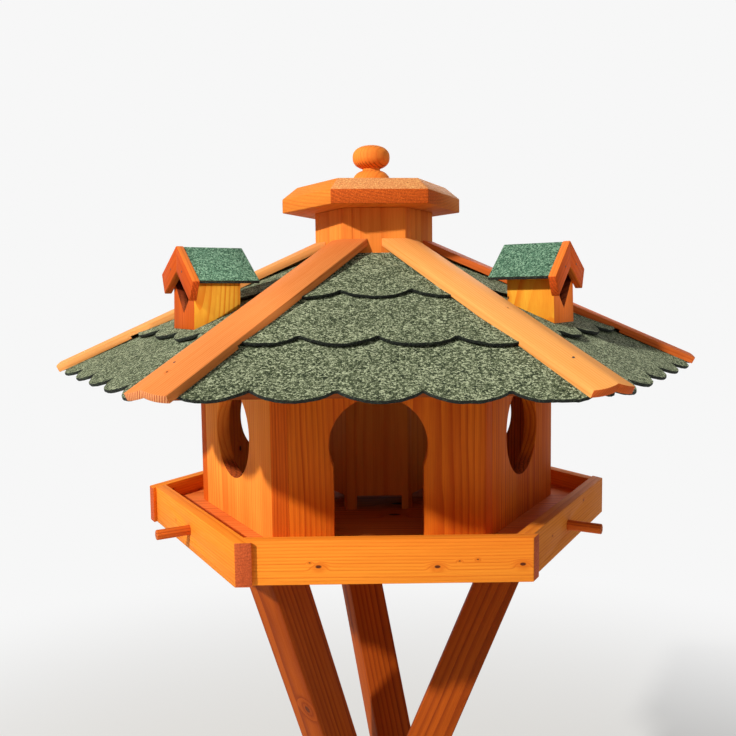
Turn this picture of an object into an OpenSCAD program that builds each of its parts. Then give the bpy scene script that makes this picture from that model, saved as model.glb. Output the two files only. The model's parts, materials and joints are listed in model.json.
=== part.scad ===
// Six-sided garden bird feeder: a crossed three-leg stand, a railed feeding tray,
// a walled house with a seed silo, a shingled hip roof with two dormers, and a loose lid.
// Origin: on the ground under the centre. +Z is up, the door side faces -Y.

/* [Stand] */
// Height of the lower edge of the tray rails above the ground
stand_h = 950; // [700:10:1200]
// Side of the square leg posts
leg_w = 43; // [34:1:50]
// Distance from the centre to each leg's axis under the tray floor
leg_top_r = 163.5; // [130:0.5:180]
// Horizontal run of a leg for each unit of its height
leg_slope = 0.42; // [0.36:0.01:0.5]
// Gap between neighbouring legs where they cross
leg_gap = 0.5; // [0.5:0.5:12]
// Turn of each post about its own axis
leg_spin = -11; // [-20:1:0]
// Direction of the first leg's top, seen from the centre
leg_azimuth = -13.8; // [-30:0.2:30]

/* [Tray] */
// Distance from the centre to an outer corner of the tray
tray_r = 257; // [240:1:280]
// Height of the tray rails
rail_h = 39.5; // [34:0.5:60]
// Thickness of the tray rails
rail_t = 13; // [9:0.5:18]
// Length by which each rail end stands proud of its neighbour
rail_proud = 4; // [0:0.5:8]
// Height of the floor's underside above the lower edge of the rails
floor_rise = 4; // [0:0.5:8]
// Thickness of the floor board
floor_t = 18; // [12:0.5:24]

/* [Perches] */
// Diameter of the perch dowels
perch_d = 10; // [6:0.5:14]
// Length of a perch outside the rail
perch_out = 33; // [15:1:60]
// Distance of a perch from the middle of its rail, toward the door side
perch_shift = 6; // [-60:1:60]

/* [House] */
// Distance from the centre to an outer corner of the house walls
house_r = 199; // [185:1:210]
// Height of the walls' outer face above the floor
wall_h = 206; // [190:1:260]
// Thickness of the wall boards
wall_t = 14; // [9:0.5:18]
// Diameter of the round windows and of the door's round head
window_d = 92; // [60:1:120]
// Height of the window centres above the floor
window_z = 90; // [75:1:110]
// Width of the doors below their round head
door_w = 84; // [50:1:92]

/* [Silo] */
// Distance from the centre to an outer corner of the seed silo
silo_r = 65.3; // [56:0.1:74]
// Thickness of the silo boards
silo_t = 9; // [6:0.5:12]
// Height of the silo boards above the roof's point where they pass through it
silo_over = 22; // [10:1:50]
// Width of the feed slot at the foot of each silo board
slot_w = 52; // [30:1:53]
// Height of the feed slots
slot_h = 15; // [8:0.5:30]

/* [Roof] */
// Distance from the centre to a corner of the roof's eave
roof_r = 361; // [340:1:385]
// Slope of the roof faces
roof_pitch = 25.9; // [22:0.1:32]
// Thickness of the roof boards
deck_t = 8; // [6:0.5:14]
// Distance from the eave line in to the edge of the roof boards
deck_inset = 20; // [12:0.5:24]
// Thickness of a shingle
shingle_t = 3; // [2:0.5:4]
// Width of one shingle lobe
lobe_w = 66; // [50:0.5:80]
// Depth of the lobes from their tips to the cusps between them
lobe_h = 15.5; // [10:0.5:22]
// Distance along the slope from the eave's lobes to those of the next shingle course
first_step = 80; // [74:0.5:90]
// Distance along the slope between the courses above
course_step = 90.5; // [82:0.5:96]
// Distance along the slope by which a course reaches under the next one's cusps
course_lap = 8; // [4:0.5:12]

/* [Hip battens] */
// Width of a hip batten, measured level across
batten_w = 44; // [34:1:60]
// Thickness of a hip batten
batten_t = 7; // [5:0.5:12]
// Angle at which the battens rise over the lapped courses, steeper than the roof
batten_rise = 1.2; // [0.8:0.1:2]
// Distance from the eave corner in to the notch in a batten's end
batten_set = 9; // [0:1:20]
// Depth of the notch where the two rounded halves of a batten's end meet
batten_notch = 7.5; // [4:0.5:12]

/* [Dormers] */
// Level distance from the eave line in to the front of the dormer boxes
dormer_set = 93.5; // [86:0.5:102]
// Distance of the dormers' ridges from the middle of their roof face, toward the door side
dormer_side = 13.5; // [6:0.5:20]
// Distance by which both dormers stand further left than in mirror image
dormer_shift = 2; // [0:0.5:4]
// Angle by which the dormers lean toward the door side
dormer_lean = 5.5; // [0:0.5:8]
// Length of the dormer boxes
dormer_len = 46; // [36:1:52]
// Width of the dormer boxes
dormer_w = 65; // [52:1:76]
// Thickness of the dormer boards
dormer_t = 8; // [5:0.5:12]
// Height of the dormers' ridge above the roof boards at the front of their boxes
dormer_h = 86; // [78:0.5:96]
// Slope of the dormer roofs
dormer_pitch = 31.5; // [24:0.5:36]
// Width left of a dormer's front board beside the top of its pointed notch
notch_ear = 2; // [1:0.5:12]
// Height above the roof boards at which the notch has its full width
notch_top = 50; // [40:1:54]
// Height of the notch's point above the roof boards
notch_foot = 22; // [16:1:30]
// Half-width of the dormer roofs' felt
dormer_eave = 47.5; // [40:0.5:56]
// Length by which the dormer roofs' felt reaches back past the boxes
dormer_back = 13.5; // [5:0.5:18]
// Thickness of the dormer roof boards, which end flush with the box under the felt
dormer_deck_t = 6; // [4:0.5:8]
// Thickness of the felt on the dormer roofs
felt_t = 2.5; // [1.5:0.5:4]
// Thickness of the bargeboards
barge_t = 7.5; // [5:0.5:12]
// Width of the bargeboards
barge_w = 21.5; // [14:0.5:26]
// Half-width across the lower ends of the bargeboards
barge_reach = 50; // [44:0.5:56]

/* [Lid] */
// Distance from the centre to a corner of the lid board
lid_r = 99; // [86:1:110]
// Thickness of the lid board
lid_t = 28; // [20:0.5:34]
// Height of the upright edge below the lid's bevel
lid_edge = 15; // [8:0.5:18]
// Width of the bevel, measured level from a face
lid_bevel = 14.5; // [8:0.5:22]
// Angle by which the loose lid lies turned
lid_turn = 5; // [-8:1:8]
// Distance by which the loose lid lies off centre
lid_shift = 2; // [0:0.5:4]
// Diameter of the centring plug under the lid
plug_d = 78; // [60:1:80]
// Height of the centring plug
plug_h = 12; // [8:1:20]
// Diameter of the knob's flattened ball
knob_d = 41; // [30:0.5:50]
// Height of the knob's flattened ball
knob_h = 26; // [18:0.5:34]
// Height of the turned foot between the lid and the ball
knob_foot = 19.5; // [14:0.5:28]

/* [Hidden] */
$fn = 64;

// Seating gap between pieces that would otherwise share a curved or scribed face
fit = 0.3;
// Reach of the cutting blocks, beyond every piece
far = 2000;
// Number of shingle courses on a roof face
courses = 3;
// Fullness of the knob's ball: 1 is an ellipse, less is squarer
knob_bulge = 0.84;
// Number of straight steps in each round stretch of the knob's outline
knob_steps = 14;

// A hexagon's face lies this share of its corner distance from the centre
flat = cos(30);
// Levels
floor_z = stand_h + floor_rise;
floor_top = floor_z + floor_t;
// Distances from the centre to faces
tray_a = tray_r * flat;
house_a = house_r * flat;
silo_a = silo_r * flat;
eave_a = roof_r * flat;
// Virtual point where the upper faces of the six roof boards meet
apex_z = floor_top + wall_h + house_a * tan(roof_pitch) + deck_t / cos(roof_pitch);
silo_top = apex_z + silo_over;
// Distances down the slope from the apex
eave_s = eave_a / cos(roof_pitch);
deck_s = (eave_a - deck_inset) / cos(roof_pitch);
// Distance down the slope to the notch in a batten's end
batten_s = (roof_r - batten_set) * flat / cos(roof_pitch);
lap = lobe_h + course_lap;
course_tilt = atan(shingle_t / min(first_step, course_step));
lobe_r = (pow(lobe_w / 2, 2) + pow(lobe_h, 2)) / (2 * lobe_h);

// Directions of a leg's axis and of its two pairs of side faces, before it is aimed past the centre
leg_lean = atan(leg_slope);
leg_axis = [sin(leg_lean), 0, -cos(leg_lean)];
leg_u = [cos(leg_lean) * cos(leg_spin), sin(leg_spin), sin(leg_lean) * cos(leg_spin)];
leg_v = [-cos(leg_lean) * sin(leg_spin), cos(leg_spin), -sin(leg_lean) * sin(leg_spin)];

// A direction turned about the vertical
function turned(v, a) = [v.x * cos(a) - v.y * sin(a), v.x * sin(a) + v.y * cos(a), v.z];

// Where two neighbouring legs pass, their room is measured along the common normal of their axes
leg_cross = cross(leg_axis, turned(leg_axis, 120));
leg_normal = leg_cross / norm(leg_cross);
leg_thickness = leg_w / 2 * (
  abs(leg_normal * leg_u) + abs(leg_normal * leg_v)
  + abs(leg_normal * turned(leg_u, 120)) + abs(leg_normal * turned(leg_v, 120)));
// Distance at which each leg passes the centre line, for that room to hold both posts and the gap
leg_pass = (leg_thickness + leg_gap) * norm(leg_cross) / (3 * sin(leg_lean) * cos(leg_lean));

// Distance down the slope to the silo, clear of its boards
silo_s = silo_a / cos(roof_pitch) + fit;
// Distance down the slope to the lobe tips of course k, counted up from the eave
function tip_s(k) = eave_s - (k > 0 ? first_step : 0) - max(0, k - 1) * course_step;
// Distance down the slope at which course k's underside meets the roof boards
function lay_s(k) = k < courses - 1 ? tip_s(k + 1) - lap : min(tip_s(k + 1) - lap, silo_s);
// Distance down the slope to the upper edge of course k
function top_s(k) = max(lay_s(k), silo_s);

// Turns a shape built facing +X to face number i, counted from the door side toward its right
module face(i) {
  rotate([0, 0, 60 * i - 90]) children();
}

// Turns a shape built along +X to corner number i, counted from the right-hand corner
module corner(i) {
  rotate([0, 0, 60 * i]) children();
}

// Places a shape in the plane of a roof face: +X runs down the slope from the apex, +Z points out
module slope() {
  translate([0, 0, apex_z]) rotate([0, roof_pitch, 0]) children();
}

// Places a shape in the plane of shingle course k, whose lower edge lies on the course below
module course_plane(k) {
  tilt = k == 0 ? 0 : course_tilt;
  slope() translate([lay_s(k), 0, 0]) rotate([0, -tilt, 0]) children();
}

// Everything above a roof face at a given height over the roof boards
module above_roof(height = 0) {
  slope() translate([-far / 2, -far / 2, height]) cube(far);
}

// Plan of a board in a six-sided ring whose ends turn like a pinwheel.
// inner and outer are its faces, past is how far its right end stands proud.
module pinwheel_plan(inner, outer, past = 0) {
  left_y = function(x) -(inner - x / 2) / flat;
  right_y = function(x) (outer + past - x / 2) / flat;
  polygon([
    [inner, left_y(inner)],
    [outer, left_y(outer)],
    [outer, right_y(outer)],
    [inner, right_y(inner)]
  ]);
}

// Stand ------------------------------------------------------------------------------

// One square post that leans in past the centre, cut level at the floor and at the ground
module leg(i) {
  aim = 180 + asin(leg_pass / leg_top_r);
  color("saddlebrown")
  rotate([0, 0, leg_azimuth + 120 * i])
  intersection() {
    translate([leg_top_r, 0, floor_z])
      rotate([0, 0, aim])
      rotate([0, -atan(leg_slope), 0])
      rotate([0, 0, leg_spin])
      translate([-leg_w / 2, -leg_w / 2, -far])
      cube([leg_w, leg_w, far + leg_w]);
    translate([-far / 2, -far / 2, 0]) cube([far, far, floor_z]);
  }
}

// Tray -------------------------------------------------------------------------------

module floor_board() {
  color("peru")
  translate([0, 0, floor_z]) cylinder(r = (tray_a - rail_t) / flat, h = floor_t, $fn = 6);
}

// Where the perch lies along its rail, measured toward the rail's right end
module perch_hole(i, d, from, to) {
  side = i == 1 ? -1 : 1;
  translate([from, side * perch_shift, stand_h + rail_h / 2])
    rotate([0, 90, 0])
    cylinder(d = d, h = to - from);
}

module rail(i) {
  color("darkorange")
  face(i) difference() {
    translate([0, 0, stand_h])
      linear_extrude(rail_h)
      pinwheel_plan(tray_a - rail_t, tray_a, rail_proud);
    if (i == 1 || i == 5) perch_hole(i, perch_d + fit, tray_a - 2 * rail_t, tray_a + rail_t);
  }
}

module perches() {
  color("sandybrown")
  for (i = [1, 5]) face(i) perch_hole(i, perch_d, tray_a - rail_t, tray_a + perch_out);
}

// House ------------------------------------------------------------------------------

module window_cut() {
  translate([house_a - 2 * wall_t, 0, floor_top + window_z])
    rotate([0, 90, 0])
    cylinder(d = window_d, h = 3 * wall_t);
}

module door_cut() {
  window_cut();
  translate([house_a - 2 * wall_t, -door_w / 2, floor_top - floor_t])
    cube([3 * wall_t, door_w, floor_t + window_z]);
}

// A wall board with its window or door, bevelled at the top to the underside of the roof boards
module wall(i) {
  color("darkorange")
  face(i) difference() {
    translate([0, 0, floor_top])
      linear_extrude(wall_h + house_a)
      pinwheel_plan(house_a - wall_t, house_a);
    for (turn = [-60, 0, 60]) rotate([0, 0, turn]) above_roof(-deck_t);
    if (i % 3 == 0) door_cut();
    else window_cut();
  }
}

// Silo -------------------------------------------------------------------------------

module silo_board(i) {
  color("orange")
  face(i) difference() {
    translate([0, 0, floor_top])
      linear_extrude(silo_top - floor_top)
      pinwheel_plan(silo_a - silo_t, silo_a);
    translate([silo_a - 2 * silo_t, -slot_w / 2, floor_top - slot_h])
      cube([3 * silo_t, slot_w, 2 * slot_h]);
  }
}

// Roof -------------------------------------------------------------------------------

// Plan of one sixth of the roof, between two distances from the centre
module roof_sector(inner, outer, gap = 0) {
  half = function(x) x * tan(30) - gap;
  polygon([
    [inner, -half(inner)],
    [outer, -half(outer)],
    [outer, half(outer)],
    [inner, half(inner)]
  ]);
}

module deck(i) {
  color("chocolate")
  face(i) intersection() {
    slope() translate([0, -far / 2, -deck_t]) cube([deck_s, far, deck_t]);
    linear_extrude(far) roof_sector(silo_a, eave_a);
  }
}

// One shingle course on one roof face, with a scalloped lower edge.
// Every other course is set over by half a lobe.
module course(i, k) {
  length = tip_s(k) - lay_s(k);
  start = top_s(k) - lay_s(k);
  shift = k % 2 == 0 ? 0 : lobe_w / 2;
  count = ceil(roof_r / lobe_w);
  face(i) intersection() {
    course_plane(k) linear_extrude(shingle_t) {
      translate([start, -roof_r / 2]) square([length - lobe_h - start, roof_r]);
      for (n = [-count:count])
        intersection() {
          translate([length - lobe_r, n * lobe_w + shift]) circle(r = lobe_r);
          translate([length - lobe_r, (n - 0.5) * lobe_w + shift]) square([lobe_r, lobe_w]);
        }
    }
    linear_extrude(far) roof_sector(silo_a, eave_a + lobe_h, fit);
    // corners trimmed where the battens end
    linear_extrude(far) circle(r = (roof_r - batten_set) / flat, $fn = 6);
  }
}

module shingle_course(k) {
  color("darkslategray")
  for (i = [0:5]) course(i, k);
}

// The space from the roof boards up to the top of course k, for pieces seated on the shingles
module under_course(k) {
  course_plane(k)
    translate([-lap, -far / 2, -far])
    cube([tip_s(k) - lay_s(k) + lap, far, far + shingle_t]);
}

// Places a shape in the underside of a hip batten: it touches the eave course at the batten's end
// and rises away from the roof boards toward the silo
module batten_plane() {
  slope()
    translate([batten_s, 0, shingle_t])
    rotate([0, batten_rise, 0])
    translate([-batten_s, 0, 0])
    children();
}

// A batten half ends in a lobe whose tip lies at its side edge and whose cusp lies on the hip
module batten_end(side) {
  hip = tan(30) * cos(roof_pitch);
  across = batten_w / 2 / flat;
  tip_x = batten_s + batten_notch;
  tip_y = hip * tip_x - across;
  run = across - hip * batten_notch;
  r = (run * run + batten_notch * batten_notch) / (2 * batten_notch);
  translate([0, -far / 2]) square([tip_x - r, far]);
  translate([tip_x - r, -side * tip_y]) circle(r = r);
}

// One half of a hip batten, lying along a roof face beside the hip, its underside cut to the courses
module batten_half(side) {
  intersection() {
    rotate([0, 0, side * 30]) difference() {
      batten_plane() linear_extrude(batten_t) batten_end(side);
      for (k = [0:courses - 1]) under_course(k);
    }
    translate([0, side > 0 ? 0 : -batten_w / 2, 0]) cube([far, batten_w / 2, far]);
  }
}

module batten(i) {
  color("orange")
  corner(i) difference() {
    union() {
      batten_half(-1);
      batten_half(1);
    }
    translate([0, 0, floor_z]) cylinder(r = silo_r + fit, h = far, $fn = 6);
  }
}

// Dormers ----------------------------------------------------------------------------

dormer_front = eave_a - dormer_set;
dormer_ridge_z = apex_z - dormer_front * tan(roof_pitch) + dormer_h;
dormer_slope = tan(dormer_pitch);

// Gable outline under a given drop from the ridge, between the centre and a half-width
module gable_band(drop, thick, reach) {
  down = thick / cos(dormer_pitch);
  for (side = [-1, 1])
    polygon([
      [0, -drop],
      [side * reach, -drop - reach * dormer_slope],
      [side * reach, -drop - down - reach * dormer_slope],
      [0, -drop - down]
    ]);
}

// Sets what is built across the middle of a face looking along +X, about its ridge, on face i:
// off the middle and leaning, both toward the door side
module on_face(i) {
  mirrored = i < 3 ? 1 : 0;
  translate([-dormer_shift, 0, 0])
    face(i)
    mirror([0, mirrored, 0])
    translate([0, dormer_side, dormer_ridge_z])
    rotate([-dormer_lean, 0, 0])
    translate([0, 0, -dormer_ridge_z])
    children();
}

// Stands a gable outline up across a roof face, between two distances from the centre
module gable_run(from, to) {
  translate([from, 0, dormer_ridge_z])
    rotate([90, 0, 90])
    linear_extrude(to - from)
    children();
}

roof_drop = felt_t / cos(dormer_pitch);
deck_drop = dormer_deck_t / cos(dormer_pitch);
dormer_rear = dormer_front - dormer_len;
dormer_base_z = dormer_ridge_z - dormer_h - dormer_len;

// Everything above the two roof slopes that lie a given drop under the ridge
module above_gable(drop) {
  reach = 2 * dormer_w;
  gable_run(dormer_rear - dormer_t, dormer_front + dormer_t)
    polygon([
      [0, -drop],
      [reach, -drop - reach * dormer_slope],
      [reach, reach],
      [-reach, reach],
      [-reach, -drop - reach * dormer_slope]
    ]);
}

// The room inside a dormer and the pointed notch in its front board
module dormer_hollow() {
  inner_w = dormer_w - 2 * dormer_t;
  notch = dormer_w / 2 - notch_ear;
  translate([dormer_rear + dormer_t, -inner_w / 2, dormer_base_z])
    cube([dormer_len - 2 * dormer_t, inner_w, dormer_h + dormer_len]);
  gable_run(dormer_front - 2 * dormer_t, dormer_front + dormer_t)
    translate([0, -dormer_h])
    polygon([
      [notch, dormer_h],
      [notch, notch_top],
      [0, notch_foot],
      [-notch, notch_top],
      [-notch, dormer_h]
    ]);
}

// Side, back and front boards of a dormer with the roof boards on them, fitted under the felt
module dormer(i) {
  color("darkorange")
  difference() {
    on_face(i) difference() {
      translate([dormer_rear, -dormer_w / 2, dormer_base_z])
        cube([dormer_len, dormer_w, dormer_h + dormer_len]);
      difference() {
        dormer_hollow();
        above_gable(roof_drop + deck_drop);
      }
      above_gable(roof_drop);
    }
    face(i) course_plane(1) translate([-far / 2, -far / 2, shingle_t - far]) cube(far);
  }
}

module dormer_felts() {
  color("seagreen")
  for (i = [1, 5])
    on_face(i)
    gable_run(dormer_rear - dormer_back, dormer_front)
    gable_band(0, felt_t, dormer_eave);
}

// Height of the bargeboards' peak above the felt's ridge
barge_rise = 1;
// Share of a bargeboard's width by which its lower end is cut in toward the square
barge_cut = 0.45;

module dormer_bargeboards() {
  down = barge_w / cos(dormer_pitch);
  inner = barge_reach - barge_cut * barge_w;
  color("orangered")
  for (i = [1, 5])
    on_face(i)
    gable_run(dormer_front, dormer_front + barge_t)
    translate([0, barge_rise])
    for (side = [-1, 1])
      polygon([
        [side * fit / 2, -fit / 2 * dormer_slope],
        [side * barge_reach, -barge_reach * dormer_slope],
        [side * inner, -down - inner * dormer_slope],
        [side * fit / 2, -down - fit / 2 * dormer_slope]
      ]);
}

// Lid --------------------------------------------------------------------------------

lid_z = silo_top + fit;

// Lays a shape where the loose lid lies
module on_silo() {
  translate([-lid_shift, 0, lid_z]) rotate([0, 0, lid_turn]) children();
}

module lid_board() {
  color("orange")
  on_silo() {
    cylinder(r = lid_r, h = lid_edge, $fn = 6);
    translate([0, 0, lid_edge])
      cylinder(r1 = lid_r, r2 = lid_r - lid_bevel / flat, h = lid_t - lid_edge, $fn = 6);
  }
}

module lid_plug() {
  color("peru")
  on_silo() translate([0, 0, -plug_h]) cylinder(d = plug_d, h = plug_h);
}

// A share of the ball's half-size, pushed outward so that its outline is fuller than an ellipse
function bulge(share) = sign(share) * pow(abs(share), knob_bulge);

// Turned knob: a spreading foot, a narrow waist and a flattened ball
module lid_knob() {
  foot_r = knob_d * 0.55;
  waist_r = knob_d * 0.24;
  tuck = acos(pow(2 * waist_r / knob_d, 1 / knob_bulge));
  foot_h = knob_foot - 2;
  foot = [for (n = [0:knob_steps])
    let (a = 90 * n / knob_steps) [foot_r - (foot_r - waist_r) * (1 - cos(a)), foot_h * sin(a)]];
  ball = [for (n = [0:2 * knob_steps])
    let (a = -tuck + (90 + tuck) * n / (2 * knob_steps))
      [knob_d / 2 * bulge(cos(a)), knob_foot + knob_h / 2 * (1 + bulge(sin(a)))]];
  color("darkorange")
  on_silo() translate([0, 0, lid_t]) rotate_extrude() polygon(concat([[0, 0]], foot, ball));
}

floor_board();  // floor
rail(0);  // rail_front
rail(1);  // rail_front_right
rail(2);  // rail_back_right
rail(3);  // rail_back
rail(4);  // rail_back_left
rail(5);  // rail_front_left
wall(0);  // wall_front
wall(1);  // wall_front_right
wall(2);  // wall_back_right
wall(3);  // wall_back
wall(4);  // wall_back_left
wall(5);  // wall_front_left
silo_board(0);  // silo_front
silo_board(1);  // silo_front_right
silo_board(2);  // silo_back_right
silo_board(3);  // silo_back
silo_board(4);  // silo_back_left
silo_board(5);  // silo_front_left
deck(0);  // deck_front
deck(1);  // deck_front_right
deck(2);  // deck_back_right
deck(3);  // deck_back
deck(4);  // deck_back_left
deck(5);  // deck_front_left
shingle_course(0);  // shingles_lower
shingle_course(1);  // shingles_middle
shingle_course(2);  // shingles_upper
batten(0);  // batten_right
batten(1);  // batten_back_right
batten(2);  // batten_back_left
batten(3);  // batten_left
batten(4);  // batten_front_left
batten(5);  // batten_front_right
dormer(5);  // dormer_left
dormer(1);  // dormer_right
dormer_bargeboards();
dormer_felts();
lid_board();
lid_plug();
lid_knob();
perches();
leg(0);  // leg_right
leg(1);  // leg_back
leg(2);  // leg_front
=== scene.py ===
# %% [markdown]
# # A six-sided bird feeder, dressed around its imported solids
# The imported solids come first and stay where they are. Each later cell adds one finish or one
# piece to them: sawn and stained pine, felt shingles with a granule face, small nails. Working
# around a fixed frame means that nothing has to be fitted by eye: a board's grain, a course of
# shingles or a nail goes where the board already is.

# %% Load the frame
import json
import math
import random

import bmesh
import bpy
from mathutils import Matrix, Vector

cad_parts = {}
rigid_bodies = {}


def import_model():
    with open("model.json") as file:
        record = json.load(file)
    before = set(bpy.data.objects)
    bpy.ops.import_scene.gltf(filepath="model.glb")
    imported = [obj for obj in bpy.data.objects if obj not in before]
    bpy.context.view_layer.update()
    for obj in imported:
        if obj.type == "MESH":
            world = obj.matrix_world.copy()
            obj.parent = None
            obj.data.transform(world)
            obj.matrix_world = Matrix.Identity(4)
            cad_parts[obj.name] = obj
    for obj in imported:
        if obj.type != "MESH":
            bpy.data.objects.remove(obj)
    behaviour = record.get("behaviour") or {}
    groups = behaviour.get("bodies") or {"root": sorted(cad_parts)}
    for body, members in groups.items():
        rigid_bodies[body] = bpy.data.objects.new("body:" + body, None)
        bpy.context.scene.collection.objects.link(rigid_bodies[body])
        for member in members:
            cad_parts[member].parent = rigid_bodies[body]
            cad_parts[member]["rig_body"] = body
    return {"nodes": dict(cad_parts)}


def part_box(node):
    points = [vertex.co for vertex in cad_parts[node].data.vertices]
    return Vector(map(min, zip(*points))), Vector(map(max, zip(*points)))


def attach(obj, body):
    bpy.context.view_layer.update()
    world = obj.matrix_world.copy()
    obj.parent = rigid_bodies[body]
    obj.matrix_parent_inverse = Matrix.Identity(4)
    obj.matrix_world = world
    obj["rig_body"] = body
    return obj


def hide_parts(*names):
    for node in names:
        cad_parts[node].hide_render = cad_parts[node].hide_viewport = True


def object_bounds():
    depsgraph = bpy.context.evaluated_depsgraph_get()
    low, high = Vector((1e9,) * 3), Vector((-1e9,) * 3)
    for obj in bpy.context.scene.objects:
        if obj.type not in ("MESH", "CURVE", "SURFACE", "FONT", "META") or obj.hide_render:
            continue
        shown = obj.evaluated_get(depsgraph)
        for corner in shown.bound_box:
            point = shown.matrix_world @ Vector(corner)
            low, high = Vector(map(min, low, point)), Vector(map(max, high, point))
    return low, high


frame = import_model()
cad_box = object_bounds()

MM = 0.001

# %% [markdown]
# ## The camera
# A feeder is looked at from chest height, a step back from the tray: a little below the lid and
# straight at the door. A camera object is a lens and a matrix. Writing the
# matrix out as a place, a tilt and a slight roll says more than a row of sixteen numbers. Its
# height is counted from the tray, which is what it looks over.

# %% Camera
tray_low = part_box("rail_front")[0].z
stands_at = (-0.0086, -0.8962, tray_low + 0.2457)
tilt_down = 0.08415
roll = 0.01353

lens = bpy.data.cameras.new("camera")
lens.lens = 38.9
lens.sensor_width = 36
camera = bpy.data.objects.new("camera", lens)
bpy.context.scene.collection.objects.link(camera)
camera.matrix_world = (Matrix.Translation(stands_at)
                       @ Matrix.Rotation(math.radians(90) - tilt_down, 4, "X")
                       @ Matrix.Rotation(-roll, 4, "Z"))
bpy.context.scene.camera = camera
print("camera stands", round(camera.location.z, 3), "m above the ground")

# %% [markdown]
# ## Colours
# Paint charts and monitors speak sRGB, shaders compute in linear light. One small helper does
# the conversion, so every colour below can be written the way it looks.

# %% Colour helper
def colour(red, green, blue):
    """An sRGB colour in 0 to 255, as the linear RGBA that a shader wants."""
    def linear(c):
        c /= 255
        return c / 12.92 if c <= 0.04045 else ((c + 0.055) / 1.055) ** 2.4
    return (linear(red), linear(green), linear(blue), 1.0)


print("middle grey in linear light:", round(colour(128, 128, 128)[0], 3))

# %% [markdown]
# ## A few words for building node trees
# A node tree is easiest to read as sentences: add a node, say what feeds it, use what comes
# out. These helpers take numbers or sockets for every input, so plain arithmetic and links look
# the same. From here on, t is always the tree that is being built.

# %% Node helpers
def feed(tree, socket, value):
    """Gives an input its value, or a link if the value is another node's output."""
    if isinstance(value, bpy.types.NodeSocket):
        tree.links.new(value, socket)
    else:
        socket.default_value = value


def add(tree, kind, feeds=None, **settings):
    """Adds a shader node. feeds maps an input's name or number to a value or a socket."""
    node = tree.nodes.new(kind)
    for key, value in settings.items():
        setattr(node, key, value)
    for key, value in (feeds or {}).items():
        feed(tree, node.inputs[key], value)
    return node


# %% [markdown]
# ## Short words for common nodes
# Five nodes are needed again and again: a sum, a smooth step, a mix of two colours, a vector that
# is stretched, and soft noise. Each gets one short word, so a long chain of them stays readable.

# %% Common nodes
def maths(tree, operation, *values, clamp=False):
    """One sum: ADD, MULTIPLY and so on, with numbers or sockets."""
    node = add(tree, "ShaderNodeMath", dict(enumerate(values)), operation=operation)
    node.use_clamp = clamp
    return node.outputs[0]


def ramp(tree, value, low, high, to_low=0.0, to_high=1.0):
    """A smooth step: to_low below low, to_high above high."""
    node = add(tree, "ShaderNodeMapRange",
               {"Value": value, "From Min": low, "From Max": high,
                "To Min": to_low, "To Max": to_high},
               interpolation_type="SMOOTHSTEP")
    return node.outputs[0]


def blend(tree, share, one, two):
    """Mixes two colours: share 0 gives the first, share 1 the second."""
    node = add(tree, "ShaderNodeMix", data_type="RGBA")
    for key, value in ((0, share), (6, one), (7, two)):
        feed(tree, node.inputs[key], value)
    return node.outputs[2]


def stretch(tree, vector, x, y, z):
    """Scales a vector along its three axes."""
    node = add(tree, "ShaderNodeVectorMath", {0: vector, 1: (x, y, z)}, operation="MULTIPLY")
    return node.outputs[0]


def noise(tree, vector, detail=2.0, rough=0.5):
    """Soft noise between 0 and 1. Its size comes from the stretched vector."""
    node = add(tree, "ShaderNodeTexNoise",
               {"Vector": vector, "Scale": 1.0, "Detail": detail, "Roughness": rough})
    return node.outputs["Fac"]


# %% [markdown]
# ## A few words for groups and materials
# A node group is built once, with named inputs, and then placed in each material with that
# material's own values. It needs its sockets before its nodes. A material needs its Principled
# shader at hand, because that is where everything ends up.

# %% Group and material helpers
def new_group(name, inputs, outputs):
    """Starts a node group. Its sockets are given as (name, kind, default) or (name, kind)."""
    group = bpy.data.node_groups.new(name, "ShaderNodeTree")
    for direction, rows in (("INPUT", inputs), ("OUTPUT", outputs)):
        for row in rows:
            socket = group.interface.new_socket(
                name=row[0], in_out=direction, socket_type="NodeSocket" + row[1])
            if len(row) > 2:
                socket.default_value = row[2]
    into = group.nodes.new("NodeGroupInput")
    out = group.nodes.new("NodeGroupOutput")
    return group, into.outputs, out.inputs


def place(tree, group, **feeds):
    """Puts a group into a material. An underscore in a keyword stands for a space."""
    node = tree.nodes.new("ShaderNodeGroup")
    node.node_tree = group
    for key, value in feeds.items():
        feed(tree, node.inputs[key.replace("_", " ")], value)
    return node.outputs


def new_material(name):
    """A material with its node tree and its Principled shader."""
    material = bpy.data.materials.new(name)
    material.use_nodes = True
    return material, material.node_tree, material.node_tree.nodes["Principled BSDF"]


# %% [markdown]
# ## Pine grain, as one group
# A board is a slice of a trunk. If the year rings are built as rings around a pith somewhere
# beside the board, the face shows long lines, the end shows arcs, and both meet at the edge by
# themselves. Stripes drawn on the face would do none of that. Around a knot the rings bend, so
# the knot's halo is added to the distance before the rings are counted. The group puts out
# values only, and every wooden piece mixes its own colours from them.
#
# Lengths inside the group are in metres. Late is the dark half of a ring, Year a random shade for
# each ring, Heart the core of a knot and Halo the wood around it.

# %% Group: pine
pine, given, result = new_group(
    "pine",
    [("Vector", "Vector"), ("Pith Y", "Float", 0.03), ("Pith Z", "Float", 0.02),
     ("Ring", "Float", 0.004), ("Waver", "Float", 0.004), ("Knot", "Float", 0.0028),
     ("Knots", "Float", 0.35), ("Half", "Float", 1.0)],
    [("Late", "Float"), ("Year", "Float"), ("Fibre", "Float"), ("Streak", "Float"),
     ("Heart", "Float"), ("Halo", "Float")])
t = pine
print("group", pine.name, "takes", [socket.name for socket in given if socket.name])

# %% [markdown]
# ## Knots of the pine
# A knot is a branch that was cut across. It goes right through the board, so a flat pattern of
# scattered points on the board's face is enough, and Voronoi cells give one point to each small
# field. A random number per field decides whether it has a knot at all and how big it is. A knot
# on the very edge would break out when the board is planed, so points past the board's half
# width are left out.

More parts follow.
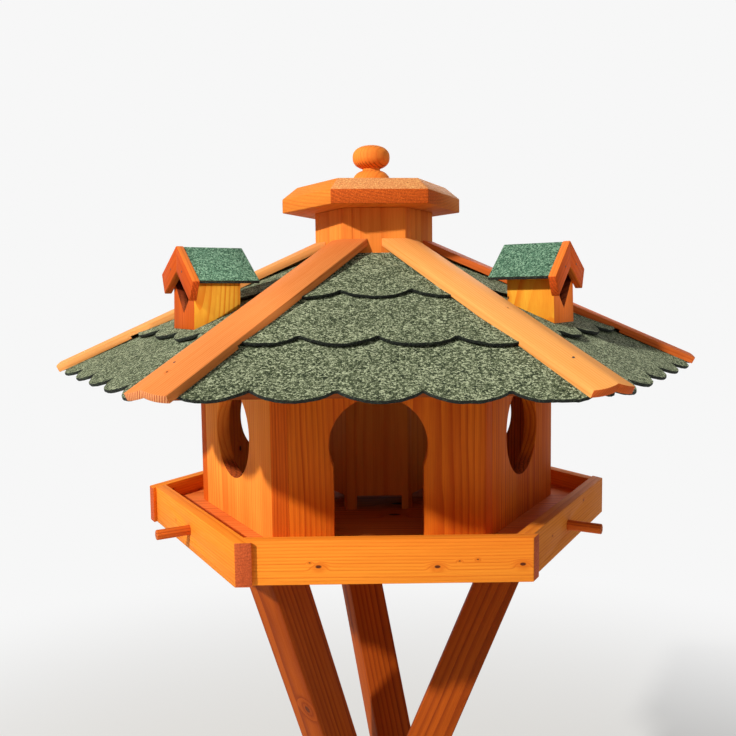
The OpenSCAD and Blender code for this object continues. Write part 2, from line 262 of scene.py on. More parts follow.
# %% Knots
cell = 34 * MM
spots = add(t, "ShaderNodeTexVoronoi",
            {"Vector": stretch(t, given["Vector"], 0.55 / cell, 1 / cell, 1), "Scale": 1.0},
            voronoi_dimensions="2D", feature="F1")
pick = add(t, "ShaderNodeSeparateColor", {0: spots.outputs["Color"]}).outputs
away = maths(t, "MULTIPLY", spots.outputs["Distance"], cell)
radius = maths(t, "MULTIPLY", given["Knot"], maths(t, "MULTIPLY_ADD", pick[1], 0.8, 0.35))
share = maths(t, "DIVIDE", away, radius)
chosen = maths(t, "LESS_THAN", pick[0], given["Knots"])
level = add(t, "ShaderNodeSeparateXYZ", {0: spots.outputs["Position"]}).outputs[1]
level = maths(t, "ABSOLUTE", maths(t, "MULTIPLY", level, cell))
chosen = maths(t, "MULTIPLY", chosen, maths(t, "LESS_THAN", level, given["Half"]))
heart = maths(t, "MULTIPLY", ramp(t, share, 1.15, 0.75), chosen)
halo = maths(t, "MULTIPLY", ramp(t, share, 6.0, 0.6), chosen)
print("one place for a knot every", round(cell / 0.55, 3), "by", cell, "m")

# %% [markdown]
# ## Year rings of the pine
# The distance from the pith, divided by the width of a ring, counts the rings. The whole number
# says which year it is, and the rest says how far the year has got: the wood grows darker through
# summer and stops at once in autumn, which is why a ring has one soft and one sharp side. Slow
# noise makes the rings wander, quick noise makes their edges tremble.

# %% Year rings
xyz = add(t, "ShaderNodeSeparateXYZ", {0: given["Vector"]}).outputs
dy = maths(t, "SUBTRACT", xyz[1], given["Pith Y"])
dz = maths(t, "SUBTRACT", xyz[2], given["Pith Z"])
reach = maths(t, "SQRT", maths(t, "MULTIPLY_ADD", dy, dy, maths(t, "MULTIPLY", dz, dz)))
slow = noise(t, stretch(t, given["Vector"], 3.5, 16, 16), detail=2)
quick = noise(t, stretch(t, given["Vector"], 14, 150, 150), detail=1)
tremble = maths(t, "MULTIPLY", maths(t, "SUBTRACT", quick, 0.5),
                maths(t, "MULTIPLY", given["Waver"], 0.12))
bend = maths(t, "MULTIPLY_ADD", maths(t, "SUBTRACT", slow, 0.5), given["Waver"], tremble)
swell = maths(t, "MULTIPLY", maths(t, "MULTIPLY", halo, halo),
              maths(t, "MULTIPLY", given["Ring"], 1.8))
bent = maths(t, "ADD", maths(t, "ADD", reach, bend), swell)
count = maths(t, "DIVIDE", bent, given["Ring"])
phase = maths(t, "FRACT", count)
late = maths(t, "MULTIPLY", ramp(t, phase, 0.35, 0.92), ramp(t, phase, 1.0, 0.94))
year = add(t, "ShaderNodeTexWhiteNoise", {"W": maths(t, "FLOOR", count)},
           noise_dimensions="1D").outputs["Value"]
print("knots and rings take", len(pine.nodes), "nodes")

# %% [markdown]
# ## Fibres and streaks of the pine
# Both are noise that is stretched along the board: the fibres about fifty times, finer than a
# millimetre, and the streaks twenty times, as wide as a finger.

# %% Fibres, streaks and the group's outputs
fibre = noise(t, stretch(t, given["Vector"], 22, 1100, 1100), detail=3, rough=0.6)
streak = noise(t, stretch(t, given["Vector"], 2.2, 42, 42), detail=3, rough=0.55)

for name, value in (("Late", late), ("Year", year), ("Fibre", fibre), ("Streak", streak),
                    ("Heart", heart), ("Halo", halo)):
    t.links.new(value, result[name])
print("group", pine.name, "has", len(pine.nodes), "nodes")

# %% [markdown]
# ## Where a board shows its end
# End grain drinks more stain than a face and turns darker and redder. A face is end grain when
# it looks along the grain, so the group compares the surface's own direction with the grain's.
# A face cut halfway across the grain is halfway there, and needs no rule of its own. The saw
# tears small pits out of the soft wood between the fibres. They show as specks.

# %% Group: end grain
ends, given, result = new_group(
    "end grain",
    [("Normal", "Vector"), ("Along", "Vector"), ("Vector", "Vector")],
    [("End", "Float"), ("Saw", "Float")])
t = ends
facing = add(t, "ShaderNodeVectorMath", {0: given["Normal"], 1: given["Along"]},
             operation="DOT_PRODUCT").outputs["Value"]
t.links.new(ramp(t, maths(t, "ABSOLUTE", facing), 0.58, 0.84), result["End"])
t.links.new(noise(t, stretch(t, given["Vector"], 700, 620, 900), detail=2, rough=0.55), result["Saw"])
print("group", ends.name, "has", len(ends.nodes), "nodes")

# %% [markdown]
# ## Stained pine
# The stain is a thin orange glaze. It lies lighter on the soft early wood, darker on the hard
# late wood, and never quite even. So the colour is mixed in that order: early and late wood,
# year by year, then broad streaks, then knots, then the darker ends. Two small functions say
# what a planed face and a sawn end look like.

# %% Colours of a face and of an end
def face_colour(t, grain, light, dark, contrast, patches):
    """The colour of a planed face: rings, streaks, fibres and knots, one over the other."""
    rings = maths(t, "MULTIPLY", grain["Late"], maths(t, "MULTIPLY_ADD", grain["Year"], 0.7, 0.3))
    rings = maths(t, "MULTIPLY", rings, contrast, clamp=True)
    wood = blend(t, rings, colour(*light), colour(*dark))
    wood = blend(t, ramp(t, grain["Streak"], 0.38, 0.68, 0.0, 0.55 * patches), wood,
                 colour(*[(a + 2 * b) / 3 for a, b in zip(light, dark)]))
    wood = blend(t, ramp(t, grain["Fibre"], 0.35, 0.75, 0.0, 0.30), wood, colour(*dark))
    wood = blend(t, ramp(t, grain["Halo"], 0.2, 1.0, 0.0, 0.5), wood, colour(*dark))
    return blend(t, grain["Heart"], wood, KNOT_HEART)


def end_colour(t, grain, cut, end, late, end_rings, pits):
    """The colour of a sawn end: its rings, then pale torn fibres, then dark pits."""
    tip = blend(t, maths(t, "MULTIPLY", grain["Late"], end_rings), colour(*end),
                colour(*(late or [0.6 * c for c in end])))
    tip = blend(t, ramp(t, cut["Saw"], 0.5, 0.66, 0.0, pits), tip,
                colour(*[min(255, 1.35 * c + 12) for c in end]))
    return blend(t, ramp(t, cut["Saw"], 0.42, 0.3, 0.0, pits), tip,
                 colour(*[0.5 * c for c in end]))


KNOT_HEART = colour(96, 44, 20)
print("the core of a knot is", [round(c, 3) for c in KNOT_HEART[:3]])

# %% [markdown]
# ## A board's own directions
# The grain is built along one direction, so each board needs axes of its own: along the grain,
# across its broad face, and out of that face. The pith is given as seen from the middle of the
# board, so each board also has to say where its middle is.

# %% Axes and middle of a board
def board_axes(along, face):
    """Directions along the grain, across the broad face and out of it."""
    along = Vector(along).normalized()
    side = Vector(face) if face else Vector((0, 0, 1))
    if abs(along.dot(side)) > 0.9:
        side = Vector((0, 1, 0))
    across = side.cross(along).normalized()
    return along, across, along.cross(across)


def middle_of(points):
    """The middle of the box around some points."""
    return Vector([(min(p[n] for p in points) + max(p[n] for p in points)) / 2 for n in range(3)])


def middle_of_node(node):
    """The middle of a solid's box."""
    return middle_of([v.co for v in frame["nodes"][node].data.vertices])


print("the lid's middle is at", [round(c, 3) for c in middle_of_node("lid_board")])

# %% [markdown]
# ## The finish of a board
# The grain is placed along the board, its face and its end are coloured, and the share of end
# grain chooses between the two. The height of the late wood and the fibres gives the surface its
# slight ribbing. The Principled shader stays here, outside the groups, with its constants set on
# its own sockets.

# %% Stained pine material
def stained(name, along, light, dark, at, end=(186, 92, 50), late=None, face=None, ring=4.0,
            pith=(30, 22), waver=5.0, knot=2.8, knots=0.3, half=1000, contrast=1.0, patches=1.0,
            end_rings=0.75, pits=0.35):
    """A material for one board whose grain runs along the given direction.

    light, dark, end and late are colours: of the early wood, of the late wood, of a sawn end and
    of the rings on it. at is the middle of the board, and face the way its broad side looks.
    Ring spacing, place of the pith, waver, knot size and half the board's width are in mm. knots
    is the share of places that have a knot. The last four say how strong the rings, the streaks,
    the rings on an end and its pits are.
    """
    draw = random.Random(name + "0")
    material, t, shader = new_material(name)
    along, across, normal = board_axes(along, face)
    spot = add(t, "ShaderNodeTexCoord")
    turn = Matrix((along, across, normal)).to_euler("XYZ")
    board = add(t, "ShaderNodeMapping", {
        "Vector": spot.outputs["Object"], "Rotation": tuple(turn),
        "Location": (draw.uniform(0, 9), draw.uniform(-0.004, 0.004) - across.dot(at),
                     draw.uniform(-0.002, 0.002) - normal.dot(at)),
    }).outputs[0]
    grain = place(t, pine, Vector=board, Pith_Y=pith[0] * MM, Pith_Z=pith[1] * MM,
                  Ring=ring * MM, Waver=waver * MM, Knot=knot * MM, Knots=knots, Half=half * MM)
    cut = place(t, ends, Normal=spot.outputs["Normal"], Along=tuple(along), Vector=board)

    wood = face_colour(t, grain, light, dark, contrast, patches)
    wood = blend(t, cut["End"], wood, end_colour(t, grain, cut, end, late, end_rings, pits))
    t.links.new(wood, shader.inputs["Base Color"])

    t.links.new(ramp(t, grain["Fibre"], 0.2, 0.8, 0.58, 0.76), shader.inputs["Roughness"])
    relief = maths(t, "MULTIPLY_ADD", grain["Late"], 0.6, maths(t, "MULTIPLY", grain["Fibre"], 0.7))
    relief = maths(t, "MULTIPLY_ADD", cut["End"], maths(t, "MULTIPLY", cut["Saw"], 1.4), relief)
    bump = add(t, "ShaderNodeBump", {"Height": relief, "Strength": 0.35, "Distance": 0.0004})
    t.links.new(bump.outputs[0], shader.inputs["Normal"])
    shader.inputs["Specular IOR Level"].default_value = 0.10
    return material


# %% [markdown]
# ## Easing the edges
# A sawn board is sanded before it is stained, so its edges are slightly round and catch a thin
# line of light. The solids have sharp edges, as a drawing does, and their faces are split into
# triangles. A copy of each visible board first gets its doubled corners merged and its flat faces
# made whole. Without that, a bevel would also cut along lines that are not edges of the board.
# A board that has dried is also a little narrower than it was drawn.

# %% Tidy meshes
def tidy_mesh(node):
    """The node's mesh with merged corners and whole faces."""
    bm = bmesh.new()
    bm.from_mesh(frame["nodes"][node].data)
    bmesh.ops.remove_doubles(bm, verts=bm.verts, dist=0.00002)
    bmesh.ops.dissolve_limit(bm, angle_limit=math.radians(0.6), verts=bm.verts, edges=bm.edges,
                             delimit={"NORMAL"})
    bmesh.ops.recalc_face_normals(bm, faces=bm.faces)
    return bm


def dried(node, direction, gap):
    """A tidy mesh of a board, narrower by a gap at each side, as wood gets when it dries."""
    bm = tidy_mesh(node)
    middle = middle_of([v.co for v in bm.verts]).dot(direction)
    half = max(abs(v.co.dot(direction) - middle) for v in bm.verts)
    for v in bm.verts:
        v.co -= direction * (v.co.dot(direction) - middle) * gap / half
    return bm


bm = tidy_mesh("floor")
print("the floor board has", len(bm.faces), "whole faces")
bm.free()

# %% [markdown]
# ## Standing for a solid
# The eased copy then stands for the solid: it rides the same body and the solid is hidden. The
# bevel is made by a modifier and applied at once, so it is real geometry. A bevel computed in the
# shader would look similar from afar, but the outline of an eased edge has to be in the mesh.

# %% Stand for a solid
def stand_for(node, bm, materials, ease=0.0, name=None, smooth=38):
    """Makes an object from a mesh, eases its edges, and lets it stand for the solid."""
    mesh = bpy.data.meshes.new(name or node + "_board")
    bm.to_mesh(mesh)
    bm.free()
    piece = bpy.data.objects.new(mesh.name, mesh)
    bpy.context.scene.collection.objects.link(piece)
    if ease:
        soften = piece.modifiers.new("eased edges", "BEVEL")
        soften.width = ease
        soften.segments = 2
        soften.limit_method = "ANGLE"
        soften.angle_limit = math.radians(28)
        soften.use_clamp_overlap = True
        shape = piece.evaluated_get(bpy.context.evaluated_depsgraph_get())
        mesh = bpy.data.meshes.new_from_object(shape)
        piece.modifiers.clear()
        piece.data = mesh
        mesh.name = piece.name
    for material in materials:
        mesh.materials.append(material)
    for face in mesh.polygons:
        face.use_smooth = True
    mesh.set_sharp_from_angle(angle=math.radians(smooth))
    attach(piece, frame["nodes"][node]["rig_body"])
    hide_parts(node)
    print(piece.name, "has", len(mesh.polygons), "faces")


# %% [markdown]
# ## Directions of the six sides
# The tray, the house, the silo and the roof all repeat around six sides. The names of the sides
# are kept as a list, so that a loop over them can also say which way each one looks.

# %% The six sides
SIDES = ["front", "front_right", "back_right", "back", "back_left", "front_left"]
CORNERS = ["right", "back_right", "back_left", "left", "front_left", "front_right"]


def outward(k):
    """The level direction that side number k looks toward."""
    angle = math.radians(60 * k - 90)
    return Vector((math.cos(angle), math.sin(angle), 0))


def sideways(k):
    """Along side number k, toward its right end seen from outside."""
    n = outward(k)
    return Vector((-n.y, n.x, 0))


print("sides look toward", [tuple(round(c, 2) for c in outward(k)) for k in range(6)])

# %% [markdown]
# ## The tray
# Six low rails stand around the floor board. Each rail butts against the next and runs a little
# past it, so every corner shows one sawn end. Their grain runs along them. The rail on the
# front right gets darker colours, which are painted shade. The floor is one wide board, cut flat.

# %% Rails and floor
for k, side in enumerate(SIDES):
    in_painted_shade = side == "front_right"
    # The front right rail gets darker colours: painted shade.
    finish = stained("rail_" + side + "_pine", sideways(k),
                     (224, 134, 44) if in_painted_shade else (250, 150, 44),
                     (188, 88, 20) if in_painted_shade else (216, 98, 20),
                     middle_of_node("rail_" + side), end=(190, 84, 42), face=outward(k), ring=3.0,
                     pith=(46, 12), waver=3.0, knot=1.4, knots=0.9, half=15, contrast=0.65,
                     patches=0.8, end_rings=0.25, pits=0.25)
    stand_for("rail_" + side, tidy_mesh("rail_" + side), [finish], ease=0.8 * MM)

floor_finish = stained("floor_pine", (1, 0, 0), (232, 126, 54), (190, 86, 30),
                       middle_of_node("floor"), face=(0, 0, 1), ring=6, pith=(10, 70), waver=12,
                       knot=4, knots=0.2)
stand_for("floor", tidy_mesh("floor"), [floor_finish], ease=0.6 * MM)

# %% [markdown]
# ## The house
# The wall boards stand upright, so their grain does too. Wide boards cut flat show strong
# stripes, stronger than the rails. The walls on the left and at the back get paler colours, which
# are painted light; the front, front right and back right get darker ones, which are painted
# shade. Every board laps the end of the next one, so a strip of its edge shows round the corner,
# close-grained and in the darker colours of the painted shade.
# Drying has drawn the boards a little narrower, which leaves a thin joint.

# %% Walls
def lapped(node, k, gap):
    """A dried board; its end, which lies in the face of the next side, gets material 1."""
    bm = dried(node, sideways(k), gap)
    for face in bm.faces:
        face.material_index = 1 if face.normal.dot(outward(k + 1)) > 0.95 else 0
    return bm


for k, side in enumerate(SIDES):
    # pale marks the walls with painted light; the other walls carry painted shade.
    pale = side in ("front_left", "back_left", "back")
    middle = middle_of_node("wall_" + side)
    finish = stained("wall_" + side + "_pine", (0, 0, 1),
                     (252, 160, 62) if pale else (232, 120, 26),
                     (226, 112, 34) if pale else (174, 56, 6),
                     middle, end=(176, 80, 34), face=outward(k), ring=4.6,
                     pith=(-34 + 13 * k, 42), waver=9, knot=1.7, knots=0.06 if k else 0.0,
                     contrast=0.85, patches=1.1)
    # The edge strip takes the darker colours of the painted shade.
    edge = stained("wall_" + side + "_edge_pine", (0, 0, 1), (228, 108, 26), (172, 56, 8),
                   middle, face=outward(k + 1), ring=2.6, pith=(90, 30), waver=4, knots=0.0,
                   contrast=0.8, patches=0.8)
    stand_for("wall_" + side, lapped("wall_" + side, k, 0.2 * MM), [finish, edge],
              ease=0.6 * MM)

# %% [markdown]
# ## Silo
# Six narrow boards make the shaft that holds the seed. Only its head shows above the roof and
# its foot through the doors. Its boards are cut from the middle of a plank, so their stripes are
# broad and faint. The strip that laps the next side gets that side's own finish, so the joint
# falls on the fold.

# %% Silo boards
silo_pine = [stained("silo_" + side + "_pine", (0, 0, 1), (242, 146, 58), (206, 92, 24),
                     middle_of_node("silo_" + side), end=(196, 96, 44), face=outward(k), ring=8.0,
                     pith=(-16 + 8 * k, 30), waver=7, knot=2.0, knots=0.05, contrast=0.55,
                     patches=0.8) for k, side in enumerate(SIDES)]
for k, side in enumerate(SIDES):
    stand_for("silo_" + side, lapped("silo_" + side, k, 0.15 * MM),
              [silo_pine[k], silo_pine[(k + 1) % 6]], ease=0.5 * MM)

# %% [markdown]
# ## Roof boards
# The boards under the shingles show only as a dark strip below the eave, and from underneath.
# Their colours are darkened: painted shade, for the shade under the shingles.
# They need no eased edges there, so the solids stay as they are and just get the finish.

# %% Roof boards
for k, side in enumerate(SIDES):
    # Darkened colours: painted shade under the eave.
    finish = stained("deck_" + side + "_pine", sideways(k), (158, 76, 28), (112, 46, 14),
                     middle_of_node("deck_" + side), end=(120, 54, 24), face=outward(k), ring=5,
                     pith=(50, 30), waver=8, knot=3, knots=0.25)
    node = frame["nodes"]["deck_" + side]
    node.data.materials.clear()
    node.data.materials.append(finish)
    print(node.name, "takes", finish.name)

# %% [markdown]
# ## Numbers of the roof
# The battens and the shingles follow the slope of the roof. The shingles are cut to lobes and
# laid in three lapped courses, and each course rides on the one below it. They are made again
# further down with a finer surface, so the sizes that the solids were built from are repeated
# here once, in metres. What can be measured from the solids is measured instead.

# %% Roof sizes
PITCH = math.radians(25.9)
EAVE_R = 0.361
APEX_Z = 1.270603
FLAT = math.cos(math.radians(30))
SHEET = 3 * MM
LOBE_W = 66 * MM
LOBE_H = 15.5 * MM
FIRST_STEP = 80 * MM
STEP = 90.5 * MM
LAP = 8 * MM
SILO_R = 65.3 * MM
EAVE_S = EAVE_R * FLAT / math.cos(PITCH)
print("slope length of a roof face:", round(EAVE_S, 4))

# %% [markdown]
# ## Hip battens
# A batten covers each hip, where the shingles of two roof faces meet. Its end is sawn to two
# lobes. Battens are ripped from boards with standing rings, so their tops show fine straight
# lines and their ends fine slanting stripes. The same rings make both. Each batten's colours are
# painted light and shade: palest on the front right, darkest on the right.

# %% Battens
def down_hip(k):
    """The direction down the hip at corner number k."""
    angle = math.radians(60 * k)
    return Vector((math.cos(angle), math.sin(angle), -math.tan(PITCH) * FLAT)).normalized()


# Each batten's colours carry painted light and shade: paler where light fell, darker in shade.
BATTEN_PAINTED_LIGHT = {
    "front_left": ((226, 138, 72), (206, 108, 46)),
    "front_right": ((250, 176, 98), (234, 142, 62)),
    "left": ((238, 168, 98), (220, 134, 62)),
    "right": ((226, 114, 48), (198, 82, 26)),
}
for k, corner in enumerate(CORNERS):
    light, dark = BATTEN_PAINTED_LIGHT.get(corner, BATTEN_PAINTED_LIGHT["front_left"])
    striped = corner == "front_left"
    finish = stained("batten_" + corner + "_pine", down_hip(k), light, dark,
                     middle_of_node("batten_" + corner),
                     end=(232, 156, 100) if striped else (212, 100, 40),
                     late=(172, 50, 16) if striped else (196, 80, 30),
                     ring=2.0, pith=(-150, 62), waver=1.5, knot=1.6, knots=0.12, half=14,
                     contrast=0.8, patches=0.8, end_rings=1.0, pits=0.1)
    stand_for("batten_" + corner, tidy_mesh("batten_" + corner), [finish],
              ease=0.9 * MM)

# %% [markdown]
# ## Dormers
# Two little houses sit on the front side faces of the roof. Their boards stand upright. The
# front boards are redder than the sides: painted shade. The left front, which faces the key
# lamp, is painted darker still. The two boards under each gable follow its slopes, and so must
# their grain. A board's longest edge says which way it runs. That works for any loose board in a
# node, whatever way it lies.

# %% Loose boards of a node
def islands(bm):
    """The connected pieces of a mesh, as lists of faces."""
    bm.faces.index_update()
    bm.edges.index_update()
    left = set(bm.faces)
    found = []
    while left:
        group, queue = [], [left.pop()]
        while queue:
            face = queue.pop()
            group.append(face)
            for edge in face.edges:
                for other in edge.link_faces:
                    if other in left:
                        left.remove(other)
                        queue.append(other)
        found.append(sorted(group, key=lambda f: f.index))
    return sorted(found, key=lambda g: g[0].index)


def longest_edge(faces):
    """The direction of the longest edge of a piece."""
    edges = {e for f in faces for e in f.edges}
    edge = max(edges, key=lambda e: (round(e.calc_length(), 5), e.index))
    return (edge.verts[1].co - edge.verts[0].co).normalized()


# %% [markdown]
# ## Dormer boxes
# A box gets three finishes: one for its sides, one for its front board, and a dark one inside,
# which is painted shade where no light reaches. The way a face looks says which one it takes:
# toward the middle of the box is inside, straight ahead is the front, and the rest are the sides.

# %% Dormer boxes
DORMER_SIDES = {"left": SIDES.index("front_left"), "right": SIDES.index("front_right")}
for name, k in DORMER_SIDES.items():
    middle = middle_of_node("dormer_" + name)
    sides = stained("dormer_" + name + "_pine", (0, 0, 1), (255, 188, 60), (232, 122, 26), middle,
                    face=sideways(k), ring=4.2, pith=(14, 46), waver=6, knot=1.6, knots=0.1,
                    contrast=1.0, patches=1.3)
    # The left front board is painted darker: painted shade.
    painted_shade_front = name == "left"
    front = stained("dormer_" + name + "_front_pine", (0, 0, 1),
                    (202, 90, 20) if painted_shade_front else (250, 130, 36),
                    (176, 66, 10) if painted_shade_front else (226, 98, 20), middle, face=outward(k),
                    ring=4.5, pith=(24, 50), waver=5, knot=1.2, knots=0.1, contrast=0.7,
                    patches=0.8)
    # The inside finish is painted shade: a dark colour where no light reaches.
    inside = stained("dormer_" + name + "_inside_pine", (0, 0, 1), (116, 42, 18), (84, 28, 10),
                     middle, face=outward(k), ring=5, pith=(24, 50))
    bm = tidy_mesh("dormer_" + name)
    for face in bm.faces:
        looks_inward = (face.calc_center_median() - middle).dot(face.normal) < -0.5 * MM
        looks_ahead = face.normal.dot(outward(k)) > 0.9
        face.material_index = 2 if looks_inward else int(looks_ahead)
    stand_for("dormer_" + name, bm, [sides, front, inside], ease=0.5 * MM)

# %% [markdown]
# ## Bargeboards
# Four short boards cover the gables. Each gets two finishes along its own direction: darker
# colours on its broad face, which are painted shade, and paler ones on its edges, which are
# painted light. The pair on the left, which faces the key lamp, is painted a little darker: painted
# shade. One nail holds each of them, a little above its middle. The nails are only noted here and
# made later, with those of the battens.

# %% Bargeboards
bm = tidy_mesh("dormer_bargeboards")
barge_pine = []
nails = []
for number, faces in enumerate(islands(bm)):
    middle = middle_of([v.co for f in faces for v in f.verts])
    k = DORMER_SIDES["right" if middle.x > 0 else "left"]
    run = longest_edge(faces)
    # tone darkens the left pair: painted shade.
    tone = 1.0 if middle.x > 0 else 0.92
    # The faces get darker colours, painted shade; the edges paler ones, painted light.
    for part, light, dark in (("face", (216, 92, 22), (184, 62, 10)),
                              ("edge", (244, 134, 52), (216, 98, 30))):
        light, dark = [[tone * c for c in tint] for tint in (light, dark)]
        barge_pine.append(stained("bargeboard_%d_%s_pine" % (number, part), run, light, dark,
                                  middle, end=(214, 84, 26), face=outward(k), ring=2.8,
                                  pith=(-16, 30), waver=3, knot=1.5, knots=0.0, contrast=0.7,
                                  patches=0.7, end_rings=0.4))
    for face in faces:
        face.material_index = 2 * number + (0 if face.normal.dot(outward(k)) > 0.9 else 1)
    front = max(faces, key=lambda f: f.calc_area() * max(0, f.normal.dot(outward(k))))
    up = run if run.z > 0 else -run
    nails.append((front.calc_center_median() + up * 5 * MM, front.normal.copy()))
stand_for("dormer_bargeboards", bm, barge_pine, ease=1.0 * MM)

# %% [markdown]
# ## Lid
# The lid is one thick six-sided board with a wide bevel. Its grain runs from front to back, a
# little to one side. So the front edge shows sawn ends, which are rough and redder, while the
# left edge shows long fibres. The bevels toward the front and the back cut the fibres at a slant:
# they are speckled too, but paler, so they get a finish of their own, with its grain direction
# tipped up. A round plug under the board centres it in the silo, and a turned knob sits on top.

# %% Lid and plug
lid_grain = Vector((0.34, -0.94, 0))
lid_middle = middle_of_node("lid_board")
lid_finish = stained("lid_pine", lid_grain, (230, 138, 50), (206, 98, 28), lid_middle,
                     end=(200, 85, 24), face=(0, 0, 1), ring=3.2, pith=(10, 150), waver=6,
                     knot=2.4, knots=0.06, contrast=0.6, patches=0.8, end_rings=0.3, pits=0.4)
tipped_grain = lid_grain + Vector((0, 0, 0.9))
bevel_finish = stained("lid_bevel_pine", tipped_grain, (238, 150, 84), (216, 118, 52),
                       lid_middle, end=(222, 142, 84), face=(0, 0, 1), ring=3.2,
                       pith=(10, 150), waver=6, knots=0.0, contrast=0.5, end_rings=0.15, pits=0.6)
bm = tidy_mesh("lid_board")
for face in bm.faces:
    slanted = 0.3 < face.normal.z < 0.95
    face.material_index = 1 if slanted and abs(face.normal.dot(lid_grain)) > 0.3 else 0
stand_for("lid_board", bm, [lid_finish, bevel_finish], ease=1.0 * MM)
stand_for("lid_plug", tidy_mesh("lid_plug"), [lid_finish], ease=0.6 * MM)

# %% [markdown]
# ## Knob
# The knob was turned from one piece with its grain standing up, so its rings show as long loops
# on its sides. The grain leans a little, as no blank is cut quite straight. The solid is already
# round and smooth, so its copy needs no easing.

# %% Knob
knob_finish = stained("knob_pine", (0.12, 0.1, 1), (252, 150, 58), (222, 102, 32),
                      middle_of_node("lid_knob"), end=(238, 130, 48), ring=3.4, pith=(-44, 24),
                      waver=5, knot=1, knots=0.0, contrast=0.6, patches=0.9, pits=0.2)
stand_for("lid_knob", tidy_mesh("lid_knob"), [knob_finish], smooth=50)

# %% [markdown]
# ## Perches
# Two dowels stick out of the rails beside the door. A dowel's grain runs along it. Its direction
# is measured from its inner end to its outer end, and kept level.

# %% Perches
bm = tidy_mesh("perches")
perch_pine = []
for number, faces in enumerate(islands(bm)):
    for face in faces:
        face.material_index = number
    low = min((v.co for f in faces for v in f.verts), key=lambda c: c.length)
    high = max((v.co for f in faces for v in f.verts), key=lambda c: c.length)
    run = Vector((high.x - low.x, high.y - low.y, 0))
    perch_pine.append(stained("perch_%d_pine" % number, run, (222, 108, 34), (176, 72, 20),
                              (low + high) / 2, end=(196, 96, 44), ring=3, pith=(4, 9), waver=3,
                              knot=1, knots=0.0))
stand_for("perches", bm, perch_pine, ease=0.8 * MM)

# %% [markdown]
# ## Legs
# Three square posts cross under the tray. Each leans, and its grain leans with it. The
# direction is measured from the solid: the middle of its foot to the middle of its top.

# %% Legs
for name in ("leg_right", "leg_back", "leg_front"):
    points = [v.co for v in frame["nodes"][name].data.vertices]
    top = max(p.z for p in points)
    ends_of = [[p for p in points if abs(p.z - z) < 0.002] for z in (0.0, top)]
    foot, head = [sum(group, Vector()) / len(group) for group in ends_of]
    # The legs' colours are darkened: painted shade, for the shadow of the tray above them.
    finish = stained(name + "_pine", head - foot, (170, 78, 12), (118, 42, 4),
                     middle_of(points), end=(166, 76, 34), ring=5, pith=(30, 14), waver=6,
                     knot=2.6, knots=0.12, half=18)
    stand_for(name, tidy_mesh(name), [finish], ease=1.5 * MM)

# %% [markdown]
# ## Nails
# Small nails hold the battens and the boards of the dormers. Only their heads show. They are too
# small for the solids, but they catch the light, so each one is a low disc of its own. A batten's
# nails are spread along its widest face.

# %% Where the battens are nailed
for k, corner in enumerate(CORNERS):
    run = down_hip(k)
    bm = tidy_mesh("batten_" + corner)
    top = max(bm.faces, key=lambda f: f.calc_area() * max(0, f.normal.z))
    along = [v.co.dot(run) for v in top.verts]
    reach = (max(along) - min(along)) / 2
    middle = top.calc_center_median()
    middle += run * ((max(along) + min(along)) / 2 - middle.dot(run))
    for share, aside in ((-0.86, 4), (-0.1, -7), (0.72, 6)):
        spot = middle + run * reach * share + top.normal.cross(run) * aside * MM
        nails.append((spot, top.normal.copy()))
    bm.free()
print(len(nails), "places for a nail")

# %% [markdown]
# ## Nail heads
# A head is a very low cone with its tip cut off, a little wider where it sits on the wood. They
# are all alike and all on one body, so one mesh holds them. Steel that has stood outside is dark
# and brown, and only a little metallic.

# %% Nail heads
HEAD_R = 1.2 * MM
HEAD_TOP_R = 0.9 * MM
HEAD_H = 0.5 * MM
steel, t, shader = new_material("nail_steel")
shader.inputs["Base Color"].default_value = colour(66, 44, 32)
shader.inputs["Metallic"].default_value = 0.3
shader.inputs["Roughness"].default_value = 0.5
bm = bmesh.new()
for spot, normal in nails:
    turn = normal.to_track_quat("Z", "Y").to_matrix().to_4x4()
    seat = Matrix.Translation(spot + normal * 0.05 * MM)
    bmesh.ops.create_cone(bm, cap_ends=True, segments=12, radius1=HEAD_R, radius2=HEAD_TOP_R,
                          depth=HEAD_H, matrix=seat @ turn)
mesh = bpy.data.meshes.new("nail_heads")
bm.to_mesh(mesh)
bm.free()
piece = bpy.data.objects.new("nail_heads", mesh)
bpy.context.scene.collection.objects.link(piece)
mesh.materials.append(steel)
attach(piece, "feeder")
print(piece.name, "has", len(mesh.polygons), "faces")

# %% [markdown]
# ## Granules
# Roofing felt is bitumen with crushed slate pressed into its face. From a step away it reads as
# a field of specks, each with its own shade. Voronoi cells are the nearest thing to packed
# granules: every cell has a random value for its shade and a distance for its dome. The cells
# are pushed about by noise so that they look crushed and not like bubbles.

# %% Group: granules
granules, given, result = new_group(
    "granules",
    [("Vector", "Vector"), ("Size", "Float", 0.002)],
    [("Shade", "Float"), ("Dome", "Float"), ("Drift", "Float")])
t = granules
per_metre = maths(t, "DIVIDE", 1.0, given["Size"])
grid = add(t, "ShaderNodeVectorMath", {0: given["Vector"]}, operation="SCALE")
t.links.new(per_metre, grid.inputs["Scale"])
push = add(t, "ShaderNodeTexNoise", {"Vector": grid.outputs[0], "Scale": 0.9, "Detail": 1.0})
moved = add(t, "ShaderNodeVectorMath", {0: push.outputs["Color"], 1: (1.3, 1.3, 1.3),
                                        2: grid.outputs[0]}, operation="MULTIPLY_ADD").outputs[0]
big = add(t, "ShaderNodeTexVoronoi", {"Vector": moved, "Scale": 1.0})
small = add(t, "ShaderNodeTexVoronoi", {"Vector": moved, "Scale": 2.1})
one = add(t, "ShaderNodeSeparateColor", {0: big.outputs["Color"]}).outputs[0]
two = add(t, "ShaderNodeSeparateColor", {0: small.outputs["Color"]}).outputs[0]
t.links.new(maths(t, "MULTIPLY_ADD", one, 0.5, maths(t, "MULTIPLY", two, 0.5)), result["Shade"])
